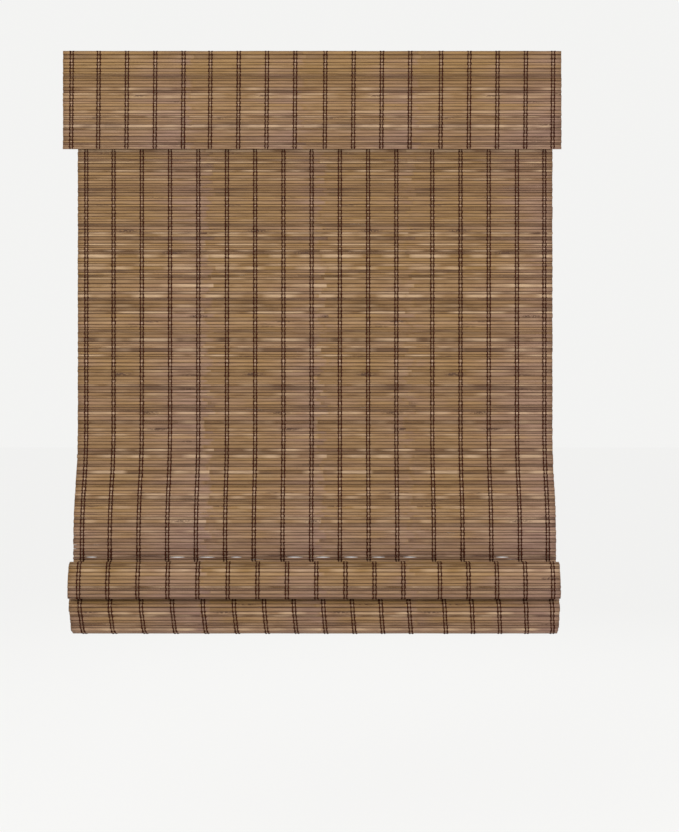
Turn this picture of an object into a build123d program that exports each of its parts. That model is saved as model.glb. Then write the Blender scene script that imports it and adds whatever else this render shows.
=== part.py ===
from build123d import *
import math
import os

os.makedirs("parts", exist_ok=True)

# A woven wood roman shade, partly raised, seen from the room along +Y.
# The origin is the middle of the mounting screws, on the top faces of the two brackets.

# Woven mats: thin wooden slats side by side, held by pairs of warp threads
mat_thickness = 3.0
slat_width = 6.1
slat_spread = 0.3
slat_turn = 2.4
groove_depth = 0.7
warp_width = 5.0
warp_thickness = 0.9
warp_gap = 0.4
warp_pitch = 44.0
warp_edge = 13.6
panel_pairs = 17
valance_pairs = 18
# Gaps between pairs that differ from the rest: the number of pairs before them, and by how much
panel_gaps = ((1, -1.5), (5, 0.7), (12, 12.0), (16, -1.3))
valance_gaps = ((1, -1.9), (5, -2.1), (9, 2.9), (13, 4.1), (17, -1.5))

# Valance, the short mat that hangs in front of the headrail and past its ends
valance_overhang = 6.5
valance_drop = 152.4
valance_top = -1.0

# Panel, the long mat behind the valance, and the two folds at its foot
panel_width = 740.6
panel_shift = 4.5
panel_top = -3.0
crease_level = -791.0
lean_depth = 34.0
lean_height = 180.0
lean_foot = 26.0
split_gap = 0.4
split_rise = 3.0
slit_height = 1.0
slit_margin = 2.0

# First fold, a loop between the two lowest rows of rings
ledge_depth = 30.0
ledge_rise = 2.0
crease_radius = 4.5
crest_radius = 7.0
fold_drop = 52.5
fold_flare = 8.0
fold_bulge = 4.0
bulge_radius = 60.0
fold_radius = 4.0
fold_thickness = 8.0
fold_slope = 2.0
loop_depth = 45.0
loop_top = 8.0
ring_turn = 9.0
ring_fall = 6.0
ring_radius = 5.0

# Skirt below the lowest rings, with the bottom rail in its hem
skirt_depth = 67.0
skirt_bulge_level = 67.0
skirt_radius = 12.0
hem_depth = 62.0
hem_top = 80.0
hem_level = 106.5
hem_return = 24.0
hem_gap = 0.3

# Headrail, an open steel channel with rolled lips
headrail_overhang = 10.7
headrail_depth = 40.0
headrail_height = 38.0
headrail_wall = 1.0
headrail_lip = 5.0
headrail_bend = 1.0
cap_thickness = 2.0
cap_plug = 12.0
cap_wall = 1.6
cap_corner = 2.0

# Clearances: flat seats, running fits and pieces that move past each other
seat_gap = 0.2
running_gap = 0.1
hang_gap = 0.3

# Hook-and-loop tapes that hold the mats
tape_height = 25.0
tape_thickness = 2.0
tape_drop = 4.0

# Mounting brackets with two screw holes each
bracket_inset = 81.0
bracket_width = 24.0
bracket_plate = 1.5
bracket_foot = 3.4
bracket_bend = 1.5
screw_spacing = 20.0
screw_radius = 2.4

# Lift mechanism inside the headrail
shaft_flats = 6.35
shaft_overhang = 6.0
shaft_y = -8.0
shaft_drop = 20.0
cord_inset = 125.3
spool_radius = 7.0
spool_taper = 0.8
spool_length = 26.0
spool_flange = 9.5
spool_flange_thickness = 1.2
hub_radius = 5.2
cradle_wall = 2.5
cradle_width = 24.0
cradle_base = 2.0
cradle_rise = 4.0
cord_hole_radius = 3.2
grommet_bore = 1.4
grommet_flange = 4.6
grommet_flange_thickness = 1.2

# Spring motor that balances the weight of the shade
motor_x = 128.0
motor_length = 44.0
motor_wall = 1.6
motor_height = 27.0
drum_radius = 4.4
drum_hub = 4.6
drum_flange = 7.4
drum_flange_thickness = 1.2
drum_spacing = 16.6
post_radius = 1.8
spring_turns = 1.6
spring_band = 0.5

# Rings behind the mat and cord anchors on the rail
ring_outer = 6.0
ring_inner = 4.0
ring_height = 2.0
ring_tuck = 3.2
ring_pitch = 160.0

# Bottom rail, an oval tube with end caps
rail_depth = 20.0
rail_height = 28.0
rail_wall = 1.4
rail_top_radius = 3.0
rail_inset = 3.0
rail_cap_thickness = 1.6
rail_cap_plug = 8.0
anchor_width = 10.0
anchor_height = 9.0
anchor_thickness = 2.4
anchor_hole = 1.5
anchor_corner = 2.0

# Lengths that follow from the panel's width
headrail_length = panel_width + 2 * headrail_overhang
valance_width = headrail_length + 2 * valance_overhang
cord_spacing = panel_width / 2 - cord_inset

# Planes that the pieces share
headrail_front = -headrail_depth / 2
headrail_top = -bracket_plate - seat_gap
headrail_bottom = headrail_top - headrail_height
floor_level = headrail_bottom + headrail_wall + seat_gap
shaft_level = headrail_top - shaft_drop
half_mat = mat_thickness / 2
warp_stand = warp_gap + warp_thickness
panel_y = headrail_front - tape_thickness - hang_gap - half_mat
valance_tape_y = panel_y - half_mat - warp_stand - hang_gap - tape_thickness
valance_y = valance_tape_y - hang_gap - half_mat
panel_left = panel_shift - panel_width / 2
tape_top = panel_top - tape_drop
cord_xs = [panel_shift - cord_spacing, panel_shift, panel_shift + cord_spacing]
bracket_x = headrail_length / 2 - bracket_inset
cord_y = shaft_y - spool_radius + spool_taper


def slat_marks(length):
    """Distances along a mat where one slat ends and the next begins, of uneven widths."""
    count = max(2, round(length / slat_width))
    widths = [1 + slat_spread * math.sin(slat_turn * k) for k in range(count)]
    scale = length / sum(widths)
    return [scale * sum(widths[:k]) for k in range(count + 1)]


def mat_frame(line, distance):
    """Point of a mat's middle line, its direction, and the way its front face looks, in Y and Z."""
    point = line.position_at(distance, position_mode=PositionMode.LENGTH)
    way = line.tangent_at(distance, position_mode=PositionMode.LENGTH)
    return (point.Y, point.Z), (way.Y, way.Z), (way.Z, -way.Y)


def step_from(point, way, along, front, out):
    """A point reached by going along the mat and then out of its face."""
    return (point[0] + way[0] * along + front[0] * out, point[1] + way[1] * along + front[1] * out)


def mat_outline(line):
    """Side outline of a mat: a flat-topped ridge for each slat, on both faces."""
    marks = slat_marks(line.length)
    groove = half_mat - groove_depth
    point, way, front = mat_frame(line, 0)
    front_side = [step_from(point, way, 0, front, groove)]
    back_side = [step_from(point, way, 0, front, -groove)]
    for start, end in zip(marks, marks[1:]):
        flat = (end - start) / 4
        point, way, front = mat_frame(line, (start + end) / 2)
        front_side.append(step_from(point, way, -flat, front, half_mat))
        front_side.append(step_from(point, way, flat, front, half_mat))
        back_side.append(step_from(point, way, 0, front, -half_mat))
        point, way, front = mat_frame(line, end)
        front_side.append(step_from(point, way, 0, front, groove))
        back_side.append(step_from(point, way, 0, front, -groove))
    return front_side + back_side[::-1]


def corner(point_a, way_a, point_b, way_b):
    """Where two lines in the Y-Z plane cross, or halfway between their points if they nearly line up."""
    least_turn = 0.06
    cross = way_a[0] * way_b[1] - way_a[1] * way_b[0]
    if abs(cross) < least_turn:
        return ((point_a[0] + point_b[0]) / 2, (point_a[1] + point_b[1]) / 2)
    gap = (point_b[0] - point_a[0], point_b[1] - point_a[1])
    along = (gap[0] * way_b[1] - gap[1] * way_b[0]) / cross
    return (point_a[0] + way_a[0] * along, point_a[1] + way_a[1] * along)


def warp_runs(line):
    """Straight runs of a thread over the slats: slats in line with each other share one run."""
    same_run = 4.0
    runs = []
    marks = slat_marks(line.length)
    for start, end in zip(marks, marks[1:]):
        point, way, front = mat_frame(line, (start + end) / 2)
        angle = math.degrees(math.atan2(way[1], way[0]))
        turned = runs and abs((angle - runs[-1][0][3] + 180) % 360 - 180)
        if runs and turned < same_run:
            runs[-1].append((point, way, front, angle))
        else:
            runs.append([(point, way, front, angle)])
    return [run[len(run) // 2] for run in runs]


def warp_outline(line):
    """Side outline of a thread that lies on the front of a mat, from end to end."""
    runs = warp_runs(line)
    start_point, start_way, start_front = mat_frame(line, 0)
    end_point, end_way, end_front = mat_frame(line, line.length)
    sides = []
    for out in (half_mat + warp_gap, half_mat + warp_stand):
        lifted = [(step_from(point, way, 0, front, out), way) for point, way, front, angle in runs]
        side = [step_from(start_point, start_way, 0, start_front, out)]
        for (point_a, way_a), (point_b, way_b) in zip(lifted, lifted[1:]):
            side.append(corner(point_a, way_a, point_b, way_b))
        side.append(step_from(end_point, end_way, 0, end_front, out))
        sides.append(side)
    return sides[0] + sides[1][::-1]


def pair_places(left, pitch, count, gaps):
    """Middles of the pairs of threads along a mat that starts at left."""
    places = []
    for k in range(count):
        shift = sum(extra for before, extra in gaps if k >= before)
        places.append(left + warp_edge + pitch * k + shift)
    return places


def ring_seat(line, row):
    """Where a row of rings stands behind the panel, counted up from its foot, in Y and Z."""
    point, way, front = mat_frame(line, line.length - ring_pitch * row)
    steepness = abs(way[0] / way[1])
    stand = (half_mat + hang_gap) / abs(way[1]) + steepness * ring_height / 2
    return point[0] + stand + ring_outer, point[1]


# Middle line of the valance
with BuildLine(Plane.YZ) as valance_path:
    Line((valance_y, valance_top), (valance_y, valance_top - valance_drop))
valance_line = valance_path.wire()

# Middle line of the panel: plumb, then two tangent arcs that lean out over the folds
lean_radius = (lean_height**2 + lean_depth**2) / (4 * lean_depth)
lean_turn = math.degrees(math.asin(lean_height / 2 / lean_radius))
lean_start = crease_level + lean_foot + lean_height
crease_y = panel_y - lean_depth
with BuildLine(Plane.YZ) as panel_path:
    plumb = Line((panel_y, panel_top), (panel_y, lean_start))
    lean_out = JernArc(plumb @ 1, plumb % 1, lean_radius, -lean_turn)
    lean_back = JernArc(lean_out @ 1, lean_out % 1, lean_radius, lean_turn)
    Line(lean_back @ 1, (crease_y, crease_level + split_rise + split_gap))
panel_line = panel_path.wire()

# Middle line of the folded foot, from the crease to the end of the hem
hem_radius = rail_depth / 2 + hem_gap + half_mat
crest_y = crease_y - ledge_depth
crest_level = crease_level + ledge_rise
fold_level = crest_level - fold_drop
hem_y = panel_y - hem_depth
hem_centre = (hem_y + hem_radius, crease_level - hem_level + hem_radius)
ring_turn_y = panel_y - lean_depth - ledge_depth - fold_flare + loop_depth
fold_corners = [
    (crease_y, crease_level + split_rise),
    (crease_y, crease_level - crease_radius),
    (crest_y, crest_level),
    (crest_y - fold_flare / 2 - fold_bulge, crest_level - fold_drop / 2),
    (crest_y - fold_flare, fold_level),
    (crest_y - fold_flare + fold_thickness, fold_level - fold_slope),
    (ring_turn_y, crease_level - loop_top),
    (ring_turn_y + ring_turn, crease_level - loop_top - ring_fall),
    (panel_y - skirt_depth, crease_level - skirt_bulge_level),
    (hem_y, crease_level - hem_top),
    (hem_y, hem_centre[1]),
]
fold_radii = [
    crease_radius,
    crest_radius,
    bulge_radius,
    fold_radius,
    fold_radius,
    ring_radius,
    ring_radius,
    skirt_radius,
    skirt_radius,
]
with BuildLine(Plane.YZ) as fold_path:
    FilletPolyline(*fold_corners, radius=fold_radii)
    hem_turn = CenterArc(hem_centre, hem_radius, 180, 180)
    Line(hem_turn @ 1, (hem_centre[0] + hem_radius, crease_level - hem_level + hem_return))
fold_line = fold_path.wire()


# Where the pairs of warp threads lie along the slats
valance_left = -valance_width / 2
valance_span = valance_width - 2 * warp_edge - sum(extra for before, extra in valance_gaps)
valance_pitch = valance_span / (valance_pairs - 1)
valance_xs = pair_places(valance_left, valance_pitch, valance_pairs, valance_gaps)
panel_xs = pair_places(panel_left, warp_pitch, panel_pairs, panel_gaps)

# Valance mat
with BuildPart() as valance_mat:
    with BuildSketch(Plane.YZ.offset(valance_left)):
        with BuildLine():
            Polyline(*mat_outline(valance_line), close=True)
        make_face()
    extrude(amount=valance_width)
valance_mat.part.label = "valance_mat"
export_step(valance_mat.part, "parts/valance_mat.step")

# Panel mat, with slits between the threads where the last slat hangs loose
slit_level = panel_line.position_at(slat_marks(panel_line.length)[-2], position_mode=PositionMode.LENGTH).Z
with BuildPart() as panel_mat:
    with BuildSketch(Plane.YZ.offset(panel_left)):
        with BuildLine():
            Polyline(*mat_outline(panel_line), close=True)
        make_face()
    extrude(amount=panel_width)
    with BuildSketch(Plane.XZ.offset(-crease_y - mat_thickness)):
        for left_x, right_x in zip(panel_xs, panel_xs[1:]):
            with Locations(((left_x + right_x) / 2, slit_level)):
                Rectangle(right_x - left_x - warp_width - 2 * slit_margin, slit_height)
    extrude(amount=2 * mat_thickness, mode=Mode.SUBTRACT)
panel_mat.part.label = "panel_mat"
export_step(panel_mat.part, "parts/panel_mat.step")

# Folded foot of the panel
with BuildPart() as fold_mat:
    with BuildSketch(Plane.YZ.offset(panel_left)):
        with BuildLine():
            Polyline(*mat_outline(fold_line), close=True)
        make_face()
    extrude(amount=panel_width)
fold_mat.part.label = "fold_mat"
export_step(fold_mat.part, "parts/fold_mat.step")

# Warp threads, one strip for each pair, laid over the fronts of the slats
with BuildPart() as valance_warp:
    with BuildSketch(*[Plane.YZ.offset(x - warp_width / 2) for x in valance_xs]):
        with BuildLine():
            Polyline(*warp_outline(valance_line), close=True)
        make_face()
    extrude(amount=warp_width)
valance_warp.part.label = "valance_warp"
export_step(valance_warp.part, "parts/valance_warp.step")

with BuildPart() as panel_warp:
    with BuildSketch(*[Plane.YZ.offset(x - warp_width / 2) for x in panel_xs]):
        with BuildLine():
            Polyline(*warp_outline(panel_line), close=True)
        make_face()
    extrude(amount=warp_width)
panel_warp.part.label = "panel_warp"
export_step(panel_warp.part, "parts/panel_warp.step")

with BuildPart() as fold_warp:
    with BuildSketch(*[Plane.YZ.offset(x - warp_width / 2) for x in panel_xs]):
        with BuildLine():
            Polyline(*warp_outline(fold_line), close=True)
        make_face()
    extrude(amount=warp_width)
fold_warp.part.label = "fold_warp"
export_step(fold_warp.part, "parts/fold_warp.step")

# Headrail, bent from one strip of steel, with a hole for each lift cord
rail_mid_y = headrail_depth / 2 - headrail_wall / 2
rail_mid_top = headrail_top - headrail_wall / 2
rail_mid_bottom = headrail_bottom + headrail_wall / 2
lip_y = headrail_depth / 2 - headrail_lip
with BuildPart() as headrail:
    with BuildSketch(Plane.YZ.offset(-headrail_length / 2)):
        with BuildLine():
            FilletPolyline(
                (-lip_y, rail_mid_top),
                (-rail_mid_y, rail_mid_top),
                (-rail_mid_y, rail_mid_bottom),
                (rail_mid_y, rail_mid_bottom),
                (rail_mid_y, rail_mid_top),
                (lip_y, rail_mid_top),
                radius=headrail_bend,
            )
        trace(line_width=headrail_wall)
    extrude(amount=headrail_length)
    with BuildSketch(Plane.XY.offset(headrail_bottom)):
        with Locations(*[(x, cord_y) for x in cord_xs]):
            Circle(cord_hole_radius)
    extrude(amount=headrail_wall, mode=Mode.SUBTRACT)
headrail.part.label = "headrail"
export_step(headrail.part, "parts/headrail.step")

# Plastic end caps, a flange outside and a hollow plug inside the channel
plug_depth = headrail_depth - 2 * headrail_wall - 2 * seat_gap
plug_height = headrail_height - 2 * headrail_wall - 2 * seat_gap
headrail_centre = headrail_top - headrail_height / 2
with BuildPart() as end_cap_right:
    with BuildSketch(Plane.YZ.offset(headrail_length / 2)):
        with Locations((0, headrail_centre)):
            RectangleRounded(headrail_depth, headrail_height, cap_corner)
    extrude(amount=cap_thickness)
    with BuildSketch(Plane.YZ.offset(headrail_length / 2)):
        with Locations((0, headrail_centre)):
            RectangleRounded(plug_depth, plug_height, cap_corner)
        offset(amount=-cap_wall, kind=Kind.INTERSECTION, mode=Mode.SUBTRACT)
    extrude(amount=-cap_plug)
end_cap_right.part.label = "end_cap_right"
export_step(end_cap_right.part, "parts/end_cap_right.step")

with BuildPart() as end_cap_left:
    mirror(end_cap_right.part, about=Plane.YZ)
end_cap_left.part.label = "end_cap_left"
export_step(end_cap_left.part, "parts/end_cap_left.step")

# Hook-and-loop tapes behind the panel and behind the valance
with BuildPart() as panel_tape:
    with BuildSketch(Plane.XZ.offset(-headrail_front)):
        with Locations((panel_shift, tape_top - tape_height / 2)):
            Rectangle(panel_width, tape_height)
    extrude(amount=tape_thickness)
panel_tape.part.label = "panel_tape"
export_step(panel_tape.part, "parts/panel_tape.step")

with BuildPart() as valance_tape:
    with BuildSketch(Plane.XZ.offset(-valance_tape_y - tape_thickness)):
        with Locations((panel_shift, tape_top - tape_height / 2)):
            Rectangle(panel_width, tape_height)
    extrude(amount=tape_thickness)
valance_tape.part.label = "valance_tape"
export_step(valance_tape.part, "parts/valance_tape.step")

# Snap-in brackets: a drilled plate with two legs whose feet hold the headrail's lips from below
leg_y = headrail_depth / 2 - headrail_lip - hang_gap - bracket_plate / 2
foot_y = leg_y + bracket_foot
foot_level = headrail_top - headrail_wall - hang_gap - bracket_plate / 2
with BuildPart() as bracket_right:
    with BuildSketch(Plane.YZ.offset(bracket_x - bracket_width / 2)):
        with BuildLine():
            FilletPolyline(
                (-foot_y, foot_level),
                (-leg_y, foot_level),
                (-leg_y, -bracket_plate / 2),
                (leg_y, -bracket_plate / 2),
                (leg_y, foot_level),
                (foot_y, foot_level - bracket_plate / 2),
                radius=bracket_bend,
            )
        trace(line_width=bracket_plate)
    extrude(amount=bracket_width)
    with BuildSketch(Plane.XY):
        with Locations((bracket_x, -screw_spacing / 2), (bracket_x, screw_spacing / 2)):
            Circle(screw_radius)
    extrude(amount=-bracket_plate, mode=Mode.SUBTRACT)
bracket_right.part.label = "bracket_right"
export_step(bracket_right.part, "parts/bracket_right.step")

with BuildPart() as bracket_left:
    mirror(bracket_right.part, about=Plane.YZ)
bracket_left.part.label = "bracket_left"
export_step(bracket_left.part, "parts/bracket_left.step")

# Lift shaft, a hexagonal steel rod
shaft_radius = shaft_flats / 2 / math.cos(math.pi / 6)
cradle_length = spool_length + spool_flange_thickness + 2 * cradle_wall + 2 * running_gap
shaft_start = cord_xs[0] - cradle_length / 2 - shaft_overhang
shaft_end = cord_xs[-1] + cradle_length / 2 + shaft_overhang
with BuildPart() as lift_shaft:
    with BuildSketch(Plane.YZ.offset(shaft_start)):
        with Locations((shaft_y, shaft_level)):
            RegularPolygon(radius=shaft_radius, side_count=6)
    extrude(amount=shaft_end - shaft_start)
lift_shaft.part.label = "lift_shaft"
export_step(lift_shaft.part, "parts/lift_shaft.step")

# Cord spools: a tapered barrel with a flange, on hubs that turn in the cradles
spool_x = cord_xs[0]
barrel_start = spool_x - (spool_length + spool_flange_thickness) / 2
barrel_end = barrel_start + spool_length
flange_end = barrel_end + spool_flange_thickness
hub_start = barrel_start - running_gap - cradle_wall
hub_end = flange_end + running_gap + cradle_wall
with BuildPart() as spool_left:
    with BuildSketch(Plane.XZ.offset(-shaft_y)):
        with BuildLine():
            Polyline(
                (hub_start, shaft_level),
                (hub_start, shaft_level + hub_radius),
                (barrel_start, shaft_level + hub_radius),
                (barrel_start, shaft_level + spool_radius - spool_taper),
                (barrel_end, shaft_level + spool_radius),
                (barrel_end, shaft_level + spool_flange),
                (flange_end, shaft_level + spool_flange),
                (flange_end, shaft_level + hub_radius),
                (hub_end, shaft_level + hub_radius),
                (hub_end, shaft_level),
                close=True,
            )
        make_face()
    revolve(axis=Axis((0, shaft_y, shaft_level), (1, 0, 0)))
    with BuildSketch(Plane.YZ.offset(hub_start)):
        with Locations((shaft_y, shaft_level)):
            RegularPolygon(radius=shaft_radius + running_gap, side_count=6)
    extrude(amount=hub_end - hub_start, mode=Mode.SUBTRACT)
spool_left.part.label = "spool_left"
export_step(spool_left.part, "parts/spool_left.step")

with BuildPart() as spool_centre:
    with Locations((cord_spacing, 0, 0)):
        add(spool_left.part)
spool_centre.part.label = "spool_centre"
export_step(spool_centre.part, "parts/spool_centre.step")

with BuildPart() as spool_right:
    with Locations((2 * cord_spacing, 0, 0)):
        add(spool_left.part)
spool_right.part.label = "spool_right"
export_step(spool_right.part, "parts/spool_right.step")

# Cradles: two cheeks on a base, drilled for the hubs, with room for the grommet below the spool
cradle_top = shaft_level + hub_radius + cradle_rise
with BuildPart() as spool_cradle_left:
    with BuildSketch(Plane.YZ.offset(hub_start)):
        with Locations((shaft_y, (floor_level + cradle_top) / 2)):
            Rectangle(2 * (shaft_y - headrail_front - headrail_wall - seat_gap), cradle_top - floor_level)
    extrude(amount=hub_end - hub_start)
    with BuildSketch(Plane.XZ.offset(-headrail_depth)):
        with Locations((spool_x, cradle_top)):
            Rectangle(hub_end - hub_start - 2 * cradle_wall, 2 * (cradle_top - floor_level - cradle_base))
    extrude(amount=2 * headrail_depth, mode=Mode.SUBTRACT)
    with BuildSketch(Plane.YZ.offset(hub_start)):
        with Locations((shaft_y, shaft_level)):
            Circle(hub_radius + running_gap)
    extrude(amount=hub_end - hub_start, mode=Mode.SUBTRACT)
    with BuildSketch(Plane.XY.offset(floor_level)):
        with Locations((spool_x, cord_y)):
            Circle(grommet_flange + seat_gap)
    extrude(amount=cradle_base, mode=Mode.SUBTRACT)
spool_cradle_left.part.label = "spool_cradle_left"
export_step(spool_cradle_left.part, "parts/spool_cradle_left.step")

with BuildPart() as spool_cradle_centre:
    with Locations((cord_spacing, 0, 0)):
        add(spool_cradle_left.part)
spool_cradle_centre.part.label = "spool_cradle_centre"
export_step(spool_cradle_centre.part, "parts/spool_cradle_centre.step")

with BuildPart() as spool_cradle_right:
    with Locations((2 * cord_spacing, 0, 0)):
        add(spool_cradle_left.part)
spool_cradle_right.part.label = "spool_cradle_right"
export_step(spool_cradle_right.part, "parts/spool_cradle_right.step")

# Cord grommets, flanged on both sides of the headrail's floor
with BuildPart() as cord_grommet_left:
    with BuildSketch(Plane.XY.offset(floor_level - seat_gap)):
        with Locations((spool_x, cord_y)):
            Circle(grommet_flange)
    extrude(amount=grommet_flange_thickness)
    with BuildSketch(Plane.XY.offset(floor_level - seat_gap)):
        with Locations((spool_x, cord_y)):
            Circle(cord_hole_radius - seat_gap)
    extrude(amount=-headrail_wall - grommet_flange_thickness)
    with BuildSketch(Plane.XY.offset(headrail_bottom - headrail_wall)):
        with Locations((spool_x, cord_y)):
            Circle(grommet_bore)
    extrude(amount=headrail_height / 2, mode=Mode.SUBTRACT)
cord_grommet_left.part.label = "cord_grommet_left"
export_step(cord_grommet_left.part, "parts/cord_grommet_left.step")

with BuildPart() as cord_grommet_centre:
    with Locations((cord_spacing, 0, 0)):
        add(cord_grommet_left.part)
cord_grommet_centre.part.label = "cord_grommet_centre"
export_step(cord_grommet_centre.part, "parts/cord_grommet_centre.step")

with BuildPart() as cord_grommet_right:
    with Locations((2 * cord_spacing, 0, 0)):
        add(cord_grommet_left.part)
cord_grommet_right.part.label = "cord_grommet_right"
export_step(cord_grommet_right.part, "parts/cord_grommet_right.step")

# Spring motor housing, with a bearing hole for the output drum and a post for the storage drum
motor_start = motor_x - motor_length / 2
motor_end = motor_x + motor_length / 2
motor_front = headrail_front + headrail_wall + seat_gap
motor_top = floor_level + motor_height
store_y = shaft_y + drum_spacing
drum_start = motor_start + motor_wall + running_gap
drum_end = motor_end - motor_wall - running_gap
with BuildPart() as motor_housing:
    with BuildSketch(Plane.XY.offset(floor_level)):
        with Locations((motor_x, 0)):
            Rectangle(motor_length, -2 * motor_front)
    extrude(amount=motor_height)
    with BuildSketch(Plane.XY.offset(floor_level + motor_wall)):
        with Locations((motor_x, 0)):
            Rectangle(motor_length - 2 * motor_wall, -2 * motor_front - 2 * motor_wall)
    extrude(amount=motor_height, mode=Mode.SUBTRACT)
    with BuildSketch(Plane.YZ.offset(motor_start)):
        with Locations((shaft_y, shaft_level)):
            Circle(drum_hub + running_gap)
    extrude(amount=motor_length, mode=Mode.SUBTRACT)
    with BuildSketch(Plane.YZ.offset(motor_start)):
        with Locations((store_y, shaft_level)):
            Circle(post_radius)
    extrude(amount=motor_length)
motor_housing.part.label = "motor_housing"
export_step(motor_housing.part, "parts/motor_housing.step")

with BuildPart() as motor_cover:
    with BuildSketch(Plane.XY.offset(motor_top)):
        with Locations((motor_x, 0)):
            Rectangle(motor_length, -2 * motor_front)
    extrude(amount=motor_wall)
    with BuildSketch(Plane.XY.offset(motor_top)):
        with Locations((motor_x, 0)):
            Rectangle(
                motor_length - 2 * motor_wall - 2 * seat_gap,
                -2 * motor_front - 2 * motor_wall - 2 * seat_gap,
            )
            offset(amount=-motor_wall, kind=Kind.INTERSECTION, mode=Mode.SUBTRACT)
    extrude(amount=-motor_wall)
motor_cover.part.label = "motor_cover"
export_step(motor_cover.part, "parts/motor_cover.step")

# Output drum on the shaft and storage drum on the post
with BuildPart() as output_drum:
    with BuildSketch(Plane.XZ.offset(-shaft_y)):
        with BuildLine():
            Polyline(
                (motor_start, shaft_level),
                (motor_start, shaft_level + drum_hub),
                (drum_start, shaft_level + drum_hub),
                (drum_start, shaft_level + drum_flange),
                (drum_start + drum_flange_thickness, shaft_level + drum_flange),
                (drum_start + drum_flange_thickness, shaft_level + drum_hub),
                (drum_end - drum_flange_thickness, shaft_level + drum_hub),
                (drum_end - drum_flange_thickness, shaft_level + drum_flange),
                (drum_end, shaft_level + drum_flange),
                (drum_end, shaft_level + drum_hub),
                (motor_end, shaft_level + drum_hub),
                (motor_end, shaft_level),
                close=True,
            )
        make_face()
    revolve(axis=Axis((0, shaft_y, shaft_level), (1, 0, 0)))
    with BuildSketch(Plane.YZ.offset(motor_start)):
        with Locations((shaft_y, shaft_level)):
            RegularPolygon(radius=shaft_radius + running_gap, side_count=6)
    extrude(amount=motor_length, mode=Mode.SUBTRACT)
output_drum.part.label = "output_drum"
export_step(output_drum.part, "parts/output_drum.step")

with BuildPart() as storage_drum:
    with BuildSketch(Plane.XZ.offset(-store_y)):
        with BuildLine():
            Polyline(
                (drum_start, shaft_level + post_radius + running_gap),
                (drum_start, shaft_level + drum_flange),
                (drum_start + drum_flange_thickness, shaft_level + drum_flange),
                (drum_start + drum_flange_thickness, shaft_level + drum_radius),
                (drum_end - drum_flange_thickness, shaft_level + drum_radius),
                (drum_end - drum_flange_thickness, shaft_level + drum_flange),
                (drum_end, shaft_level + drum_flange),
                (drum_end, shaft_level + post_radius + running_gap),
                close=True,
            )
        make_face()
    revolve(axis=Axis((0, store_y, shaft_level), (1, 0, 0)))
storage_drum.part.label = "storage_drum"
export_step(storage_drum.part, "parts/storage_drum.step")

# Power spring: a coil on the storage drum, a coil on the output drum and the strip between them
spring_start = drum_start + drum_flange_thickness + hang_gap
spring_width = drum_end - drum_flange_thickness - hang_gap - spring_start
store_coil = drum_radius + hang_gap + spring_turns
output_coil = drum_hub + hang_gap + spring_band
with BuildPart() as power_spring:
    with BuildSketch(Plane.YZ.offset(spring_start)):
        with Locations((store_y, shaft_level)):
            Circle(store_coil)
        with Locations((shaft_y, shaft_level)):
            Circle(output_coil)
        with BuildLine():
            Polyline(
                (store_y, shaft_level + store_coil),
                (shaft_y, shaft_level + output_coil),
                (shaft_y, shaft_level + output_coil - spring_band),
                (store_y, shaft_level + store_coil - spring_band),
                close=True,
            )
        make_face()
        with Locations((store_y, shaft_level)):
            Circle(drum_radius + hang_gap, mode=Mode.SUBTRACT)
        with Locations((shaft_y, shaft_level)):
            Circle(drum_hub + hang_gap, mode=Mode.SUBTRACT)
    extrude(amount=spring_width)
power_spring.part.label = "power_spring"
export_step(power_spring.part, "parts/power_spring.step")

# Rings sewn behind the mat: rows up the panel, one row at the crease and one at the loop's top
row_1_y, row_1_level = ring_seat(panel_line, 1)
row_2_y, row_2_level = ring_seat(panel_line, 2)
row_3_y, row_3_level = ring_seat(panel_line, 3)
crease_ring_y = crease_y + half_mat + hang_gap + ring_outer
crease_ring_level = crease_level + hang_gap
loop_ring_y = ring_turn_y + ring_turn + half_mat + ring_outer - ring_tuck
loop_ring_level = crease_level - loop_top - ring_turn
with BuildPart() as ring_row_1:
    with BuildSketch(Plane.XY.offset(row_1_level - ring_height / 2)):
        with Locations(*[(x, row_1_y) for x in cord_xs]):
            Circle(ring_outer)
            Circle(ring_inner, mode=Mode.SUBTRACT)
    extrude(amount=ring_height)
ring_row_1.part.label = "ring_row_1"
export_step(ring_row_1.part, "parts/ring_row_1.step")

with BuildPart() as ring_row_2:
    with Locations((0, row_2_y - row_1_y, row_2_level - row_1_level)):
        add(ring_row_1.part)
ring_row_2.part.label = "ring_row_2"
export_step(ring_row_2.part, "parts/ring_row_2.step")

with BuildPart() as ring_row_3:
    with Locations((0, row_3_y - row_1_y, row_3_level - row_1_level)):
        add(ring_row_1.part)
ring_row_3.part.label = "ring_row_3"
export_step(ring_row_3.part, "parts/ring_row_3.step")

with BuildPart() as crease_rings:
    with Locations((0, crease_ring_y - row_1_y, crease_ring_level - row_1_level)):
        add(ring_row_1.part)
crease_rings.part.label = "crease_rings"
export_step(crease_rings.part, "parts/crease_rings.step")

with BuildPart() as loop_rings:
    with Locations((0, loop_ring_y - row_1_y, loop_ring_level - row_1_level)):
        add(ring_row_1.part)
loop_rings.part.label = "loop_rings"
export_step(loop_rings.part, "parts/loop_rings.step")

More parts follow.
